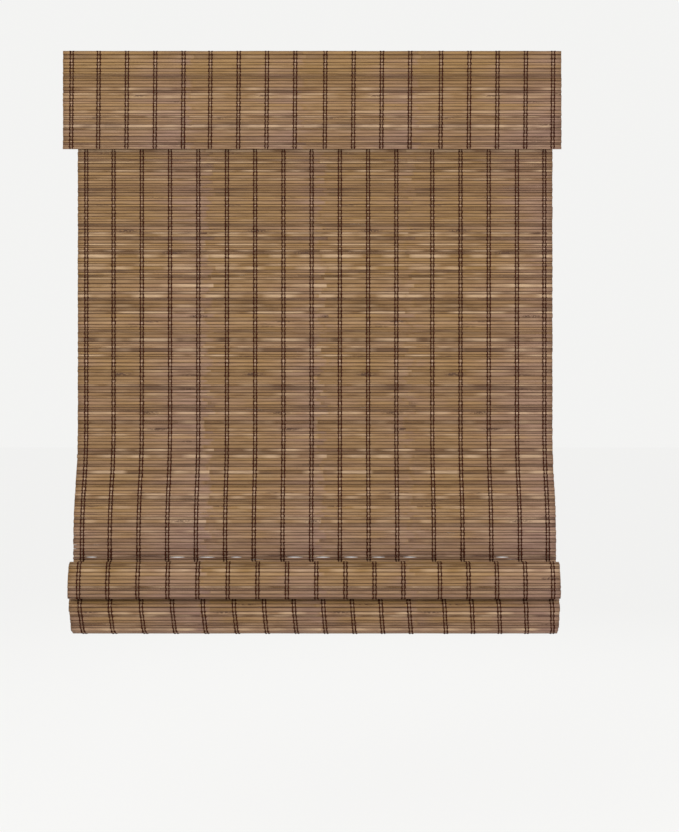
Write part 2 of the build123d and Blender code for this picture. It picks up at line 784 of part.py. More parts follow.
# Bottom rail, an oval aluminium tube in the hem
rail_round_level = hem_centre[1]
rail_top = rail_round_level - rail_depth / 2 + rail_height
rail_centre_y = hem_centre[0]
rail_left = panel_left + rail_inset
rail_length = panel_width - 2 * rail_inset
with BuildPart() as bottom_rail:
    with BuildSketch(Plane.YZ.offset(rail_left)) as rail_section:
        with Locations((rail_centre_y, rail_round_level)):
            Circle(rail_depth / 2)
        with Locations((rail_centre_y, (rail_round_level + rail_top) / 2)):
            Rectangle(rail_depth, rail_top - rail_round_level)
        fillet(vertices().sort_by(Axis.Y)[-2:], rail_top_radius)
        offset(amount=-rail_wall, kind=Kind.INTERSECTION, mode=Mode.SUBTRACT)
    extrude(amount=rail_length)
bottom_rail.part.label = "bottom_rail"
export_step(bottom_rail.part, "parts/bottom_rail.step")

# Plastic caps that close the ends of the rail
rail_right = rail_left + rail_length
with BuildPart() as rail_cap_right:
    with BuildSketch(Plane.YZ.offset(rail_right)):
        with Locations((rail_centre_y, rail_round_level)):
            Circle(rail_depth / 2)
        with Locations((rail_centre_y, (rail_round_level + rail_top) / 2)):
            Rectangle(rail_depth, rail_top - rail_round_level)
        fillet(vertices().sort_by(Axis.Y)[-2:], rail_top_radius)
    extrude(amount=rail_cap_thickness)
    with BuildSketch(Plane.YZ.offset(rail_right)):
        with Locations((rail_centre_y, (rail_round_level + rail_top) / 2)):
            Rectangle(rail_depth - 2 * rail_wall - 2 * seat_gap, rail_cap_plug)
    extrude(amount=-rail_cap_plug)
rail_cap_right.part.label = "rail_cap_right"
export_step(rail_cap_right.part, "parts/rail_cap_right.step")

with BuildPart() as rail_cap_left:
    mirror(rail_cap_right.part, about=Plane.YZ.offset(panel_shift))
rail_cap_left.part.label = "rail_cap_left"
export_step(rail_cap_left.part, "parts/rail_cap_left.step")

# Cord anchors on the back of the rail, above the end of the hem
anchor_level = crease_level - hem_level + hem_return + hang_gap + anchor_height / 2
with BuildPart() as cord_anchors:
    with BuildSketch(Plane.XZ.offset(-rail_centre_y - rail_depth / 2)):
        with Locations(*[(x, anchor_level) for x in cord_xs]):
            RectangleRounded(anchor_width, anchor_height, anchor_corner)
            Circle(anchor_hole, mode=Mode.SUBTRACT)
    extrude(amount=-anchor_thickness)
cord_anchors.part.label = "cord_anchors"
export_step(cord_anchors.part, "parts/cord_anchors.step")
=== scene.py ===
import math
import random

import bpy
import numpy as np
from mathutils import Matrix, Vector


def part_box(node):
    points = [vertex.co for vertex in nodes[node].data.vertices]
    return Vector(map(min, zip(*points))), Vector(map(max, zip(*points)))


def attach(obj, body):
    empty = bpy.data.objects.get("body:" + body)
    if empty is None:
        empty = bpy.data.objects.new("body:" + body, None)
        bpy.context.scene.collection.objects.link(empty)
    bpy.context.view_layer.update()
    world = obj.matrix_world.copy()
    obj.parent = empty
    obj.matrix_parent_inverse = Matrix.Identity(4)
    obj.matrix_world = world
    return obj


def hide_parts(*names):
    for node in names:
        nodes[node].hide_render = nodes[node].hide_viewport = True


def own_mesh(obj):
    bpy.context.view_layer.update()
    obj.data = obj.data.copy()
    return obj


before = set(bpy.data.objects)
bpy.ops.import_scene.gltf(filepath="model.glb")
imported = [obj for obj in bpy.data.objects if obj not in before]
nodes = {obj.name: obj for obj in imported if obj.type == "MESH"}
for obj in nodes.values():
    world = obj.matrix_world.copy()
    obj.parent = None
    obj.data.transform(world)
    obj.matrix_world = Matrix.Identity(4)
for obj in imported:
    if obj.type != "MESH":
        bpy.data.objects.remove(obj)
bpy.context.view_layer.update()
MM = 0.001

# The mats' sizes, as the part has them
MAT_THICKNESS = 3.0 * MM
SPLIT_RISE = 3.0 * MM
LEAN_DEPTH = 34.0 * MM
LEAN_HEIGHT = 180.0 * MM
LEAN_FOOT = 26.0 * MM
LEDGE_DEPTH = 30.0 * MM
LEDGE_RISE = 2.0 * MM
CREASE_RADIUS = 4.5 * MM
CREST_RADIUS = 7.0 * MM
FOLD_DROP = 52.5 * MM
FOLD_FLARE = 8.0 * MM
FOLD_BULGE = 4.0 * MM
BULGE_RADIUS = 60.0 * MM
FOLD_RADIUS = 4.0 * MM
FOLD_THICKNESS = 8.0 * MM
FOLD_SLOPE = 2.0 * MM
LOOP_DEPTH = 45.0 * MM
LOOP_TOP = 8.0 * MM
RING_TURN = 9.0 * MM
RING_FALL = 6.0 * MM
RING_RADIUS = 5.0 * MM
SKIRT_DEPTH = 67.0 * MM
SKIRT_BULGE_LEVEL = 67.0 * MM
SKIRT_RADIUS = 12.0 * MM
HEM_DEPTH = 62.0 * MM
HEM_TOP = 80.0 * MM
HEM_LEVEL = 106.5 * MM
HEM_RETURN = 24.0 * MM
HEM_GAP = 0.3 * MM
RAIL_DEPTH = 20.0 * MM

# Threads
WARP_PITCH = 44.0 * MM
WARP_EDGE = 13.6 * MM
PANEL_PAIRS = 17
VALANCE_PAIRS = 18
PANEL_GAPS = ((1, -1.5), (5, 0.7), (12, 12.0), (16, -1.3))
VALANCE_GAPS = ((1, -1.9), (5, -2.1), (9, 2.9), (13, 4.1), (17, -1.5))
PAIR_SPREAD = 4.5 * MM
VALANCE_LEAN = 1.1 * MM
YARN_HALF_WIDTH = 1.1 * MM
YARN_HALF_DEPTH = 0.55 * MM
KNOTTED_LENGTH = 14.0 * MM

# Slats
SLAT_OVERLAP = 1.05
RAGGED_ENDS = 0.7 * MM
FRAYED_SLATS = 9
FRAYED_LENGTH = 9.0 * MM
SLIT_OPENING = 0.46 * MM
SLIT_SLATS = 2
SLIT_STEPS = 260
DYE_RUN = 200.0 * MM
SEAM_JITTER = 20.0 * MM
SEAM_HALF_WIDTH = 7.0 * MM

# The dye repeats along the slats: the gaps between pairs in which it starts again
VALANCE_SEAMS = (5, 9, 13)
PANEL_SEAMS = (5, 9, 12)
# How golden the slats are, from mauve 0 to gold 1, at distances in metres down each mat
VALANCE_WARMTH = ((0.0, 0.80), (0.075, 0.60), (0.152, 0.42))
PANEL_WARMTH = (
    (0.15, 0.66), (0.50, 0.62), (0.56, 0.50), (0.62, 0.54),
    (0.66, 0.64), (0.70, 0.56), (0.74, 0.40), (0.79, 0.12),
)
FOLD_WARMTH = (
    (0.0, 0.5), (0.034, 0.70), (0.060, 0.55), (0.088, 0.26),
    (0.16, 0.5), (0.205, 0.66), (0.235, 0.5), (0.275, 0.28),
)
# How far in millimetres the foot's slats end inside the panel's edges, or outside them where negative,
# at distances in metres along the foot
FOLD_LEFT = (
    (0.0, 0.0), (0.036, -0.4), (0.088, -1.2), (0.21, -1.8),
    (0.240, 0.4), (0.274, 4.0), (0.31, 4.0),
)
FOLD_RIGHT = (
    (0.0, 0.0), (0.036, -0.4), (0.088, -0.8), (0.21, -1.0),
    (0.250, 0.0), (0.274, 2.6), (0.31, 2.6),
)
NO_INSET = ((0.0, 0.0),)

# Places read from the frame
valance_low, valance_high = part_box("valance_mat")
panel_low, panel_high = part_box("panel_mat")
valance_y = (valance_low.y + valance_high.y) / 2
panel_y = panel_high.y - MAT_THICKNESS / 2
panel_left, panel_right = panel_low.x, panel_high.x
panel_bottom = panel_low.z
split_gap = panel_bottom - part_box("fold_mat")[1].z
crease_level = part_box("crease_rings")[1].z - 1.3 * MM


def turned(way, degrees):
    """A direction in the Y-Z plane, turned anticlockwise."""
    angle = math.radians(degrees)
    cos, sin = math.cos(angle), math.sin(angle)
    return np.array([way[0] * cos - way[1] * sin, way[0] * sin + way[1] * cos])


def arc_points(start, way, radius, degrees, steps=24):
    """Points of an arc that leaves start along way and turns by degrees, left if positive."""
    side = 1 if degrees > 0 else -1
    centre = start + turned(way, 90 * side) * radius
    spoke = start - centre
    return [centre + turned(spoke, degrees * k / steps) for k in range(1, steps + 1)], turned(way, degrees)


def rounded_line(corners, radii):
    """Points of a line through corners whose inner corners are rounded by arcs."""
    corners = [np.array(c, float) for c in corners]
    points = [corners[0]]
    for before, here, after, radius in zip(corners, corners[1:], corners[2:], radii):
        way_in = (here - before) / np.linalg.norm(here - before)
        way_out = (after - here) / np.linalg.norm(after - here)
        turn = math.degrees(math.atan2(way_in[0] * way_out[1] - way_in[1] * way_out[0], way_in @ way_out))
        reach = radius * math.tan(math.radians(abs(turn)) / 2)
        start = here - way_in * reach
        points.append(start)
        points.extend(arc_points(start, way_in, radius, turn)[0])
    points.append(corners[-1])
    return points


class Line:
    """A mat's middle line in the Y-Z plane, measured by the distance along it."""

    def __init__(self, points):
        self.points = np.array(points)
        steps = np.linalg.norm(np.diff(self.points, axis=0), axis=1)
        keep = np.concatenate([[True], steps > 1e-7])
        self.points = self.points[keep]
        steps = np.linalg.norm(np.diff(self.points, axis=0), axis=1)
        self.marks = np.concatenate([[0], np.cumsum(steps)])
        self.length = self.marks[-1]

    def at(self, distance):
        """Points, directions and front normals at one or many distances."""
        reach = 0.6 * MM
        place = self._point(distance)
        way = self._point(np.asarray(distance) + reach) - self._point(np.asarray(distance) - reach)
        way = way / np.linalg.norm(way, axis=-1, keepdims=True)
        front = np.stack([way[..., 1], -way[..., 0]], axis=-1)
        return place, way, front

    def _point(self, distance):
        inside = np.clip(distance, 0, self.length)
        y = np.interp(inside, self.marks, self.points[:, 0])
        z = np.interp(inside, self.marks, self.points[:, 1])
        over = np.asarray(distance) - inside
        first = (self.points[1] - self.points[0]) / np.linalg.norm(self.points[1] - self.points[0])
        last = (self.points[-1] - self.points[-2]) / np.linalg.norm(self.points[-1] - self.points[-2])
        y = y + np.where(over < 0, first[0] * over, last[0] * over)
        z = z + np.where(over < 0, first[1] * over, last[1] * over)
        return np.stack([y, z], axis=-1)


def valance_line():
    return Line([(valance_y, valance_high.z), (valance_y, valance_low.z)])


def panel_line():
    """Plumb, then two tangent arcs that lean out over the folds."""
    radius = (LEAN_HEIGHT**2 + LEAN_DEPTH**2) / (4 * LEAN_DEPTH)
    turn = math.degrees(math.asin(LEAN_HEIGHT / 2 / radius))
    start = np.array([panel_y, crease_level + LEAN_FOOT + LEAN_HEIGHT])
    down = np.array([0.0, -1.0])
    first, way = arc_points(start, down, radius, -turn)
    second, way = arc_points(first[-1], way, radius, turn)
    foot = (panel_y - LEAN_DEPTH, panel_bottom - 0.9 * split_gap)
    return Line([(panel_y, panel_high.z), start] + first + second + [foot])


def fold_line():
    """From the crease over the first fold, back to the lower rings and down round the hem."""
    crease_y = panel_y - LEAN_DEPTH
    crest_y = crease_y - LEDGE_DEPTH
    crest_level = crease_level + LEDGE_RISE
    fold_level = crest_level - FOLD_DROP
    loop_y = crest_y - FOLD_FLARE + LOOP_DEPTH
    hem_radius = RAIL_DEPTH / 2 + HEM_GAP + MAT_THICKNESS / 2
    hem_y = panel_y - HEM_DEPTH
    hem_level = crease_level - HEM_LEVEL + hem_radius
    corners = [
        (crease_y, crease_level + SPLIT_RISE),
        (crease_y, crease_level - CREASE_RADIUS),
        (crest_y, crest_level),
        (crest_y - FOLD_FLARE / 2 - FOLD_BULGE, crest_level - FOLD_DROP / 2),
        (crest_y - FOLD_FLARE, fold_level),
        (crest_y - FOLD_FLARE + FOLD_THICKNESS, fold_level - FOLD_SLOPE),
        (loop_y, crease_level - LOOP_TOP),
        (loop_y + RING_TURN, crease_level - LOOP_TOP - RING_FALL),
        (panel_y - SKIRT_DEPTH, crease_level - SKIRT_BULGE_LEVEL),
        (hem_y, crease_level - HEM_TOP),
        (hem_y, hem_level),
    ]
    radii = [
        CREASE_RADIUS,
        CREST_RADIUS,
        BULGE_RADIUS,
        FOLD_RADIUS,
        FOLD_RADIUS,
        RING_RADIUS,
        RING_RADIUS,
        SKIRT_RADIUS,
        SKIRT_RADIUS,
    ]
    points = rounded_line(corners, radii)
    hem, way = arc_points(points[-1], np.array([0.0, -1.0]), hem_radius, 180, steps=48)
    top = (hem[-1][0], crease_level - HEM_LEVEL + HEM_RETURN)
    return Line(points + hem + [top])


def slat_widths(length, seed):
    """Uneven widths of the slats that fill a mat: narrow ones, broad ones and a thin last one."""
    rng = random.Random(seed)
    widths = []
    while sum(widths) < length:
        if rng.random() < 0.58:
            widths.append(rng.uniform(3.0, 4.0) * MM)
        else:
            widths.append(rng.uniform(5.0, 6.4) * MM)
    widths[-1] = 3.4 * MM
    scale = length / sum(widths)
    return [w * scale for w in widths]


def level_at(table, distance):
    """A value read from a table of distances and values."""
    return float(np.interp(distance, [d for d, value in table], [value for d, value in table]))


def smooth_noise(rng, xs, wavelength, size):
    """A slow random curve along the slats, from a few sine waves."""
    total = np.zeros_like(xs)
    for octave in range(3):
        phase = rng.uniform(0, 2 * math.pi)
        stretch = wavelength * rng.uniform(0.7, 1.3) / (1.8**octave)
        total += np.sin(xs * 2 * math.pi / stretch + phase) / (1.6**octave)
    return total * size / 2


def mesh_object(name, vertices, faces, attributes=None):
    mesh = bpy.data.meshes.new(name)
    mesh.from_pydata(vertices.tolist(), [], faces)
    for attribute, values in (attributes or {}).items():
        layer = mesh.attributes.new(attribute, "FLOAT_VECTOR", "POINT")
        layer.data.foreach_set("vector", np.asarray(values, np.float32).ravel())
    mesh.polygons.foreach_set("use_smooth", [True] * len(mesh.polygons))
    mesh.update()
    piece = bpy.data.objects.new(name, mesh)
    bpy.context.scene.collection.objects.link(piece)
    return piece


def slat_section(width, half_depth, fullness):
    """Cross-section of a split slat: a rounded bar, flatter where fullness is high."""
    across = np.array([-0.5, -0.44, -0.22, 0.22, 0.44, 0.5, 0.44, 0.22, -0.22, -0.44])
    out = np.array([0.0, 0.6, 1.0, 1.0, 0.6, 0.0, -0.6, -1.0, -1.0, -0.6])
    corner = np.array([0, 1, 0, 0, 1, 0, 1, 0, 0, 1])
    out = np.where(corner == 1, np.sign(out) * (0.55 + 0.35 * fullness), out)
    return across, across * width, out * half_depth


def woven_slats(name, line, sides, places, seed, warmth, insets=(NO_INSET, NO_INSET), slits=()):
    """One mesh of separate slats laid side by side along a mat's middle line."""
    rng = random.Random(seed)
    widths = slat_widths(line.length, seed)
    section_points = 10
    vertices, faces, weave, edge_shade_rows, looks = [], [], [], [], []
    base = 0
    begin = 0.0
    for index, width in enumerate(widths):
        middle = begin + width / 2
        place, way, front = line.at(middle)
        left = sides[0] + level_at(insets[0], middle) * MM + rng.uniform(0, RAGGED_ENDS)
        right = sides[1] - level_at(insets[1], middle) * MM - rng.uniform(0, RAGGED_ENDS)
        pairs = np.array([float(at(middle)) for at in places])
        xs = np.concatenate([[left, right], pairs, (pairs[1:] + pairs[:-1]) / 2, [left + FRAYED_LENGTH]])
        beside_slit = len(slits) > 0 and index >= len(widths) - SLIT_SLATS
        if beside_slit:
            xs = np.concatenate([xs, np.linspace(left, right, SLIT_STEPS)[1:-1]])
        xs = np.unique(xs)
        from_pair = np.abs(xs[:, None] - pairs[None, :]).min(axis=1)
        drift = smooth_noise(rng, xs, 0.30, 0.10 * MM)
        swell = 1 + smooth_noise(rng, xs, 0.12, 0.05)
        sway = smooth_noise(rng, xs, 0.22, 0.14 * MM)
        twist = smooth_noise(rng, xs, 0.35, math.radians(4)) + rng.uniform(-1, 1) * math.radians(4)
        half_depth = MAT_THICKNESS / 2 * rng.uniform(0.7, 0.92)
        share, across, out = slat_section(width * SLAT_OVERLAP, half_depth, rng.uniform(0.2, 1))
        tone = rng.random()
        # Strengths of the painted shade in the grooves along the slat's two edges, strong on some slats and
        # faint on others
        edge_shade_strengths = [
            rng.uniform(0.65, 1.0) if rng.random() < 0.40 else rng.uniform(0.0, 0.35)
            for edge in range(2)
        ]
        gold = level_at(warmth, middle) + rng.uniform(-0.12, 0.12)
        # How strongly the slat takes pale streaks, which are paler wood with a painted highlight on them
        pale = rng.uniform(0.45, 1.0) if rng.random() < 0.22 else rng.uniform(0.0, 0.22)
        if len(slits) > 0 and index >= len(widths) - FRAYED_SLATS:
            frayed = rng.choice((0.0, 0.0, 0.0, 0.16))
            swell = swell - frayed * (1 - eased((xs - left) / FRAYED_LENGTH))
        if beside_slit:
            away = 1 if index == len(widths) - 1 else -1
            opening = np.zeros_like(xs)
            for start, end in slits:
                reach = (end - start) / 2
                opening = np.maximum(opening, np.clip(1 - np.abs(xs - start - reach) / reach, 0, 1) ** 0.7)
            drift = drift + away * opening * SLIT_OPENING
            swell = swell - opening * 0.07
        for x, d, s, n, t, gap in zip(xs, drift, swell, sway, twist, from_pair):
            a = across * s * math.cos(t) - out * math.sin(t) + d
            o = across * s * math.sin(t) + out * math.cos(t) + n
            ys = place[0] + way[0] * a + front[0] * o
            zs = place[1] + way[1] * a + front[1] * o
            vertices.append(np.stack([np.full(section_points, x), ys, zs], axis=1))
            same_x, same_tone = np.full(section_points, x), np.full(section_points, tone)
            weave.append(np.stack([same_x, middle + a, same_tone], axis=1))
            edge_shade_rows.append(np.stack([share, *[np.full(section_points, e) for e in edge_shade_strengths]], axis=1))
            looks.append(np.tile([gold, pale, gap], (section_points, 1)))
        for k in range(len(xs) - 1):
            for p in range(section_points):
                q = (p + 1) % section_points
                row, next_row = base + k * section_points, base + (k + 1) * section_points
                faces.append((row + p, row + q, next_row + q, next_row + p))
        faces.append(tuple(base + p for p in reversed(range(section_points))))
        faces.append(tuple(base + (len(xs) - 1) * section_points + p for p in range(section_points)))
        base += len(xs) * section_points
        begin += width
    attributes = {
        "weave": np.concatenate(weave),
        "edges": np.concatenate(edge_shade_rows),
        "look": np.concatenate(looks),
    }
    return mesh_object(name, np.concatenate(vertices), faces, attributes)


def woven_yarns(name, line, places, seed, side, sides=5, knotted=0.0):
    """Yarns along one face of the slats: thin over each slat, knotted where they dip between two."""
    widths = slat_widths(line.length, seed[0])
    edges = np.concatenate([[0], np.cumsum(widths)])
    rng = random.Random(seed[1])
    spin = math.pi / 4 if sides == 4 else 0.0
    ring = [2 * math.pi * k / sides + spin for k in range(sides)]
    vertices, faces, weave = [], [], []
    base = 0
    for place in places:
        for shift in (-PAIR_SPREAD / 2, PAIR_SPREAD / 2):
            marks, lifts, sways, fats = [], [], [], []
            bead = 1 if shift > 0 else -1
            for start, end in zip(edges, edges[1:]):
                width = end - start
                rise = MAT_THICKNESS / 2 + YARN_HALF_DEPTH * rng.uniform(0.2, 0.8)
                bead = -bead
                lean = bead * rng.uniform(0.10, 0.45) * MM
                knot = rng.uniform(1.25, 1.80)
                thin = rng.uniform(0.45, 0.85)
                if line.length - end < knotted:
                    knot = knot * rng.uniform(1.1, 1.4)
                    thin = thin * 1.4
                marks += [start, start + width * 0.32, start + width * 0.68]
                lifts += [MAT_THICKNESS / 2 * 0.85, rise, rise]
                sways += [-bead * rng.uniform(0.0, 0.45) * MM, lean, lean * 0.6]
                fats += [knot, thin, thin]
            marks.append(edges[-1])
            lifts.append(MAT_THICKNESS / 2 * 0.5)
            sways.append(0.0)
            fats.append(0.6)
            marks = np.array(marks)
            point, way, front = line.at(marks)
            xs = place(marks) + shift + np.array(sways)
            tone = rng.random()
            for k, mark in enumerate(marks):
                for angle in ring:
                    wide = math.cos(angle) * YARN_HALF_WIDTH * fats[k]
                    deep = math.sin(angle) * YARN_HALF_DEPTH * fats[k]
                    out = side * (lifts[k] + deep)
                    y, z = point[k] + front[k] * out
                    vertices.append((xs[k] + wide, y, z))
                    weave.append((xs[k] + wide, mark, tone))
            for k in range(len(marks) - 1):
                for p in range(sides):
                    q = (p + 1) % sides
                    row, next_row = base + k * sides, base + (k + 1) * sides
                    quad = (row + p, row + q, next_row + q, next_row + p)
                    faces.append(quad if side > 0 else quad[::-1])
            faces.append(tuple(base + p for p in range(sides)))
            faces.append(tuple(base + (len(marks) - 1) * sides + p for p in reversed(range(sides))))
            base += len(marks) * sides
    return mesh_object(name, np.array(vertices), faces, {"weave": np.array(weave)})


def eased(value):
    value = np.clip(value, 0, 1)
    return value * value * (3 - 2 * value)


def srgb(red, green, blue):
    """A colour given as it looks on screen, 0 to 255, in the linear values that nodes take."""
    def linear(value):
        value = value / 255
        return value / 12.92 if value <= 0.04045 else ((value + 0.055) / 1.055) ** 2.4
    return (linear(red), linear(green), linear(blue), 1)


class Material:
    """A short way to write a node material: each call adds a node and gives back its output."""

    def __init__(self, name):
        self.material = bpy.data.materials.new(name)
        self.material.use_nodes = True
        self.tree = self.material.node_tree
        self.shader = self.tree.nodes["Principled BSDF"]

    def add(self, kind, settings=None, **inputs):
        node = self.tree.nodes.new(kind)
        for key, value in (settings or {}).items():
            setattr(node, key, value)
        for key, value in inputs.items():
            self.feed(node.inputs[key.replace("_", " ")], value)
        return node

    def feed(self, socket, value):
        if isinstance(value, bpy.types.NodeSocket):
            self.tree.links.new(value, socket)
        else:
            socket.default_value = value

    def math(self, operation, first, second=0.0):
        node = self.tree.nodes.new("ShaderNodeMath")
        node.operation = operation
        self.feed(node.inputs[0], first)
        self.feed(node.inputs[1], second)
        return node.outputs[0]

    def ramp(self, factor, stops):
        node = self.tree.nodes.new("ShaderNodeValToRGB")
        self.feed(node.inputs[0], factor)
        elements = node.color_ramp.elements
        while len(elements) < len(stops):
            elements.new(0.5)
        for element, (position, colour) in zip(elements, stops):
            element.position = position
            element.color = colour
        return node.outputs[0]

    def mix(self, factor, first, second, blend="MIX"):
        node = self.tree.nodes.new("ShaderNodeMix")
        node.data_type = "RGBA"
        node.blend_type = blend
        self.feed(node.inputs[0], factor)
        self.feed(node.inputs[6], first)
        self.feed(node.inputs[7], second)
        return node.outputs[2]

    def noise(self, vector, scale, detail=2.0, roughness=0.5):
        node = self.add("ShaderNodeTexNoise", Vector=vector, Scale=scale, Detail=detail, Roughness=roughness)
        return node.outputs["Fac"]

    def scaled(self, vector, scale):
        node = self.tree.nodes.new("ShaderNodeVectorMath")
        node.operation = "MULTIPLY"
        self.feed(node.inputs[0], vector)
        node.inputs[1].default_value = scale
        return node.outputs[0]

    def smooth(self, value, low, high):
        """0 at low, 1 at high, eased between them."""
        node = self.add("ShaderNodeMapRange", {"interpolation_type": "SMOOTHSTEP"}, Value=value)
        node.inputs["From Min"].default_value = low
        node.inputs["From Max"].default_value = high
        return node.outputs[0]

    def bump(self, height, strength, distance):
        node = self.add("ShaderNodeBump", Height=height, Strength=strength, Distance=distance)
        self.feed(self.shader.inputs["Normal"], node.outputs["Normal"])

    def surface(self, colour, roughness, **others):
        self.feed(self.shader.inputs["Base Color"], colour)
        self.feed(self.shader.inputs["Roughness"], roughness)
        for key, value in others.items():
            self.feed(self.shader.inputs[key.replace("_", " ")], value)
        return self.material


def slat_material(name, left, seams):
    """Stained bamboo: the dye runs from gold to mauve along the slats and starts again at each seam. Painted
    shade across each slat, in its grooves and around the yarns, and painted highlights go over it.
    """
    m = Material(name)
    weave = m.add("ShaderNodeAttribute", {"attribute_name": "weave"}).outputs["Vector"]
    edges = m.add("ShaderNodeAttribute", {"attribute_name": "edges"}).outputs["Vector"]
    look = m.add("ShaderNodeAttribute", {"attribute_name": "look"}).outputs["Vector"]
    along, down, tone = m.add("ShaderNodeSeparateXYZ", Vector=weave).outputs
    share, low_edge_shade, high_edge_shade = m.add("ShaderNodeSeparateXYZ", Vector=edges).outputs
    gold, pale, from_pair = m.add("ShaderNodeSeparateXYZ", Vector=look).outputs
    along = m.math("ADD", along, m.math("MULTIPLY", m.math("SUBTRACT", tone, 0.5), SEAM_JITTER))
    local = soft_local = m.math("SUBTRACT", along, left)
    for before, seam in zip((left,) + tuple(seams), seams):
        passed = m.math("GREATER_THAN", along, seam)
        local = m.math("SUBTRACT", local, m.math("MULTIPLY", passed, seam - before))
        passing = m.smooth(along, seam - SEAM_HALF_WIDTH, seam + SEAM_HALF_WIDTH)
        soft_local = m.math("SUBTRACT", soft_local, m.math("MULTIPLY", passing, seam - before))
    own = m.add("ShaderNodeCombineXYZ", X=local, Y=down, Z=m.math("MULTIPLY", tone, 3.0)).outputs[0]

    run = m.ramp(m.math("DIVIDE", soft_local, DYE_RUN), [
        (0.00, (0.52, 0.52, 0.52, 1)),
        (0.12, (0.64, 0.64, 0.64, 1)),
        (0.38, (0.68, 0.68, 0.68, 1)),
        (0.55, (0.57, 0.57, 0.57, 1)),
        (0.70, (0.42, 0.42, 0.42, 1)),
        (0.86, (0.33, 0.33, 0.33, 1)),
        (1.00, (0.22, 0.22, 0.22, 1)),
    ])
    patch = m.noise(m.scaled(own, (11.0, 34.0, 0.4)), 1.0, 2.0)
    warm = m.math("ADD", m.math("ADD", gold, m.math("SUBTRACT", run, 0.5)),
                  m.math("MULTIPLY", m.math("SUBTRACT", patch, 0.5), 0.9))
    tint = m.ramp(warm, [
        (0.02, srgb(146, 116, 101)),
        (0.38, srgb(147, 116, 91)),
        (0.64, srgb(146, 114, 78)),
        (0.95, srgb(143, 111, 67)),
    ])
    shade = m.add("ShaderNodeTexWhiteNoise", {"noise_dimensions": "1D"}, W=m.math("MULTIPLY", tone, 917.0))
    drift = m.noise(m.scaled(own, (9.0, 0.0, 900.0)), 1.0, 2.0)
    level = m.math("ADD", shade.outputs["Value"], m.math("MULTIPLY", m.math("SUBTRACT", drift, 0.5), 1.1))
    own_tone = m.ramp(level, [
        (0.00, srgb(168, 155, 143)),
        (0.22, srgb(214, 206, 198)),
        (0.60, srgb(244, 241, 237)),
        (0.90, srgb(255, 253, 249)),
    ])
    toned = m.mix(1.0, tint, own_tone, "MULTIPLY")

    # Pale streaks along some slats: paler wood, and a painted highlight that comes and goes along the slat
    gleam = m.noise(m.scaled(own, (21.0, 0.0, 1700.0)), 1.0, 1.0)
    lit = m.ramp(gleam, [(0.42, (0, 0, 0, 1)), (0.62, (1, 1, 1, 1))])
    toned = m.mix(m.math("MULTIPLY", m.math("MULTIPLY", pale, lit), 0.60), toned, srgb(200, 170, 137))
    # Painted light and shade across each rounded slat: lighter on its crown, darker towards its edges
    off_crown = m.math("ABSOLUTE", share)
    crown_shading = m.ramp(off_crown, [
        (0.00, (1.12, 1.12, 1.12, 1)),
        (0.24, (1.03, 1.03, 1.03, 1)),
        (0.42, (0.80, 0.78, 0.76, 1)),
        (0.50, (0.66, 0.63, 0.60, 1)),
    ])
    toned = m.mix(1.0, toned, crown_shading, "MULTIPLY")
    # Painted shadow of the yarns on the slat, around each pair
    yarn_shadow = m.math("MULTIPLY", m.smooth(from_pair, 3.6 * MM, 2.0 * MM), 0.22)
    toned = m.mix(yarn_shadow, toned, srgb(84, 56, 36))
    # Painted highlight on the slat's crown between a pair's two yarns, on some slats only
    between = m.math("MULTIPLY", m.smooth(from_pair, 1.9 * MM, 0.9 * MM), m.smooth(off_crown, 0.36, 0.16))
    between = m.math("MULTIPLY", between, m.ramp(shade.outputs["Value"], [
        (0.60, (0, 0, 0, 1)),
        (0.92, (0.55, 0.55, 0.55, 1)),
    ]))
    toned = m.mix(between, toned, srgb(196, 164, 140))

    grain = m.noise(m.scaled(own, (26.0, 2000.0, 40.0)), 1.0, 4.0, 0.6)
    streak = m.ramp(grain, [(0.32, srgb(164, 151, 140)), (0.52, srgb(255, 255, 255))])
    grained = m.mix(0.75, toned, streak, "MULTIPLY")

    knots = m.add("ShaderNodeTexVoronoi", Vector=m.scaled(own, (9.0, 60.0, 500.0)), Scale=1.0)
    dashes = m.noise(m.scaled(own, (300.0, 700.0, 3.0)), 1.0, 2.0)
    near = m.ramp(knots.outputs["Distance"], [(0.08, (1, 1, 1, 1)), (0.21, (0, 0, 0, 1))])
    dash = m.ramp(dashes, [(0.42, (0, 0, 0, 1)), (0.50, (1, 1, 1, 1))])
    spot = m.mix(1.0, near, dash, "MULTIPLY")
    knotted = m.mix(m.math("MULTIPLY", spot, 0.9), grained, srgb(70, 44, 28))

    # Painted shade in the grooves along the slats' edges, stronger on some edges than others and fading in
    # and out along the slats
    upper = m.math("MULTIPLY", m.smooth(share, 0.24, 0.45), high_edge_shade)
    lower = m.math("MULTIPLY", m.smooth(share, -0.24, -0.45), low_edge_shade)
    edge_shade_fade = m.ramp(m.noise(m.scaled(own, (12.0, 0.0, 400.0)), 1.0, 2.0), [
        (0.34, (0.30, 0.30, 0.30, 1)),
        (0.60, (1, 1, 1, 1)),
    ])
    line = m.math("MULTIPLY", m.math("MAXIMUM", upper, lower), edge_shade_fade)
    edge_shaded = m.mix(m.math("MULTIPLY", line, 0.9), knotted, srgb(66, 40, 23))
    rough = m.math("ADD", m.math("MULTIPLY", grain, 0.25), 0.45)
    m.bump(grain, 0.3, 0.0003)
    return m.surface(edge_shaded, rough, Specular_IOR_Level=0.3)


def yarn_material():
    """Twisted dark red-brown cotton yarn."""
    m = Material("warp_yarn")
    weave = m.add("ShaderNodeAttribute", {"attribute_name": "weave"}).outputs["Vector"]
    twist = m.noise(m.scaled(weave, (900.0, 1300.0, 5.0)), 1.0, 2.0)
    colour = m.ramp(twist, [(0.3, srgb(38, 16, 8)), (0.7, srgb(72, 36, 22))])
    m.bump(twist, 0.6, 0.0004)
    return m.surface(colour, 0.9, Specular_IOR_Level=0.05)


